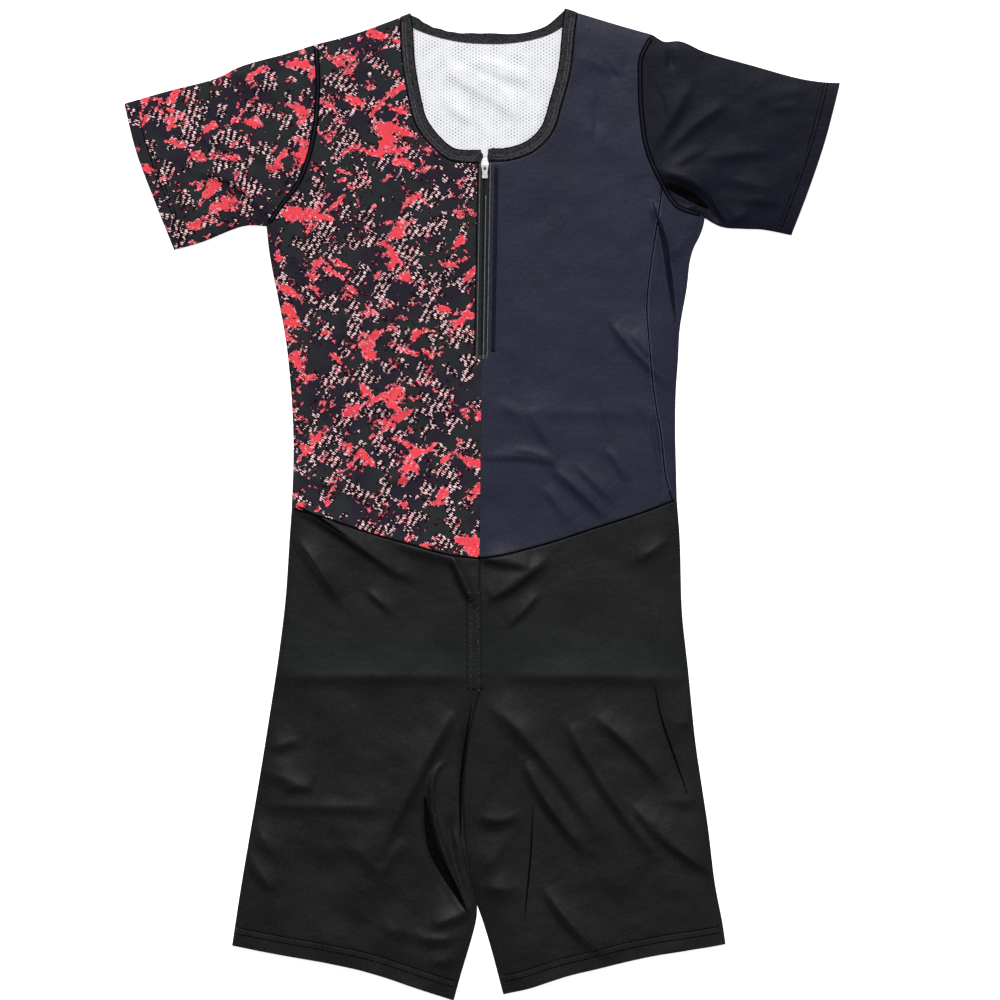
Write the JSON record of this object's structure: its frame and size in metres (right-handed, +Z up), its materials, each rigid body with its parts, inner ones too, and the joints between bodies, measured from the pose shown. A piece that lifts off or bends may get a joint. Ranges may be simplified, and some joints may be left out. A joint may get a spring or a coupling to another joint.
{
  "type": "running speedsuit",
  "caption": "Short-sleeved running speedsuit laid flat, zipped at the front: right side printed in coral on charcoal, left side plain navy, legs black satin.",
  "frame": {"origin": "under the middle of the laid suit's box, on the surface it lies on", "axes": "+X towards the wearer's left, +Y from the legs towards the neck, +Z up, out of the front"},
  "size_m": [0.7156, 0.992, 0.0089],
  "materials": {
    "printed_knit": "matt knit with a coral and white splatter print on charcoal",
    "navy_knit": "matt smooth knit, near-black navy",
    "mesh_knit": "perforated mesh knit, white inside and navy outside",
    "satin_knit": "black knit with a soft satin sheen",
    "binding_knit": "matt elastic binding",
    "zip_tape": "woven tape with a nylon coil",
    "nickel": "satin nickel plate on cast zinc"
  },
  "bodies": {
    "suit": {"front_print": "printed_knit", "front_plain": "navy_knit", "back": "mesh_knit", "sleeve_print": "printed_knit", "sleeve_plain": "navy_knit", "leg_right": "satin_knit", "leg_left": "satin_knit", "neck_binding": "binding_knit", "zip_tape_right": "zip_tape", "zip_tape_left": "zip_tape", "zip_slider": "nickel"},
    "pull_tab": {"zip_pull": "nickel"}
  },
  "joints": [
    {"name": "pull_tab_lift", "type": "hinge", "parent": "suit", "child": "pull_tab", "pos_m": [0.00295, 0.33825, 0.0079], "axis": [-1, 0, 0], "range_deg": [0, 165]}
  ]
}
